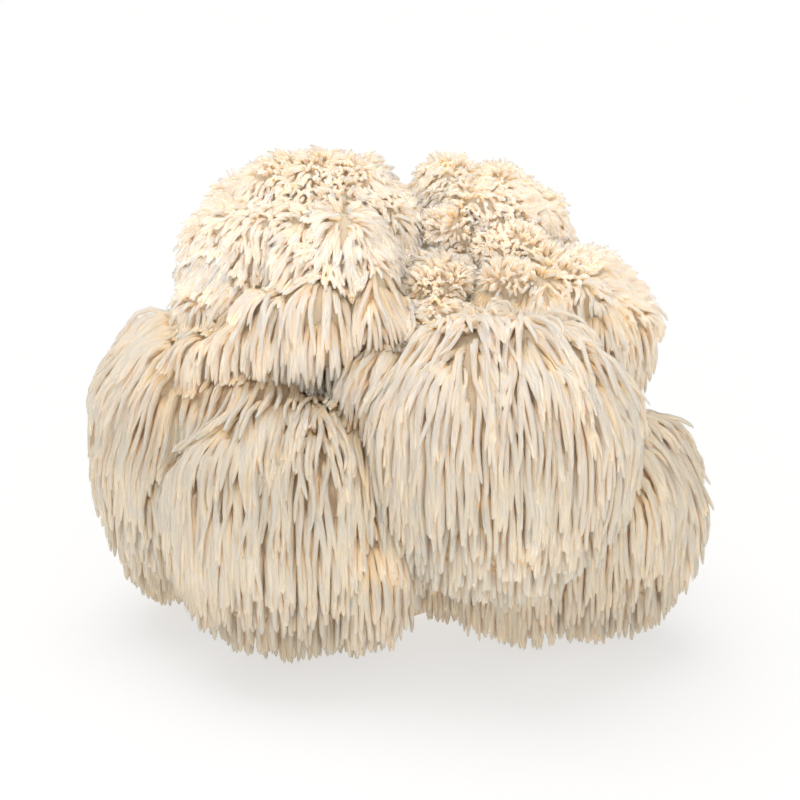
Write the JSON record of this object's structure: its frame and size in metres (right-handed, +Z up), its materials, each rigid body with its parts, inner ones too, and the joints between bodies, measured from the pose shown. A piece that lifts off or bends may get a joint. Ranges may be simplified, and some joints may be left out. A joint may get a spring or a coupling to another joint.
{
  "type": "lion's mane mushroom",
  "caption": "Lion's mane mushroom: rounded lobes grown together, clothed in hanging cream spines, cut flat at its base.",
  "frame": {"origin": "centre of the flat face where the mushroom was cut from its log, on the surface that it rests on", "axes": "+Z up, away from the cut face; -Y towards the side that the picture shows; +X to the right seen from there"},
  "size_m": [0.2225, 0.1885, 0.1683],
  "materials": {
    "spines": "waxy soft flesh, pale cream spines with warm tan roots"
  },
  "bodies": {
    "root": {"fruiting_body": "spines"}
  },
  "joints": []
}
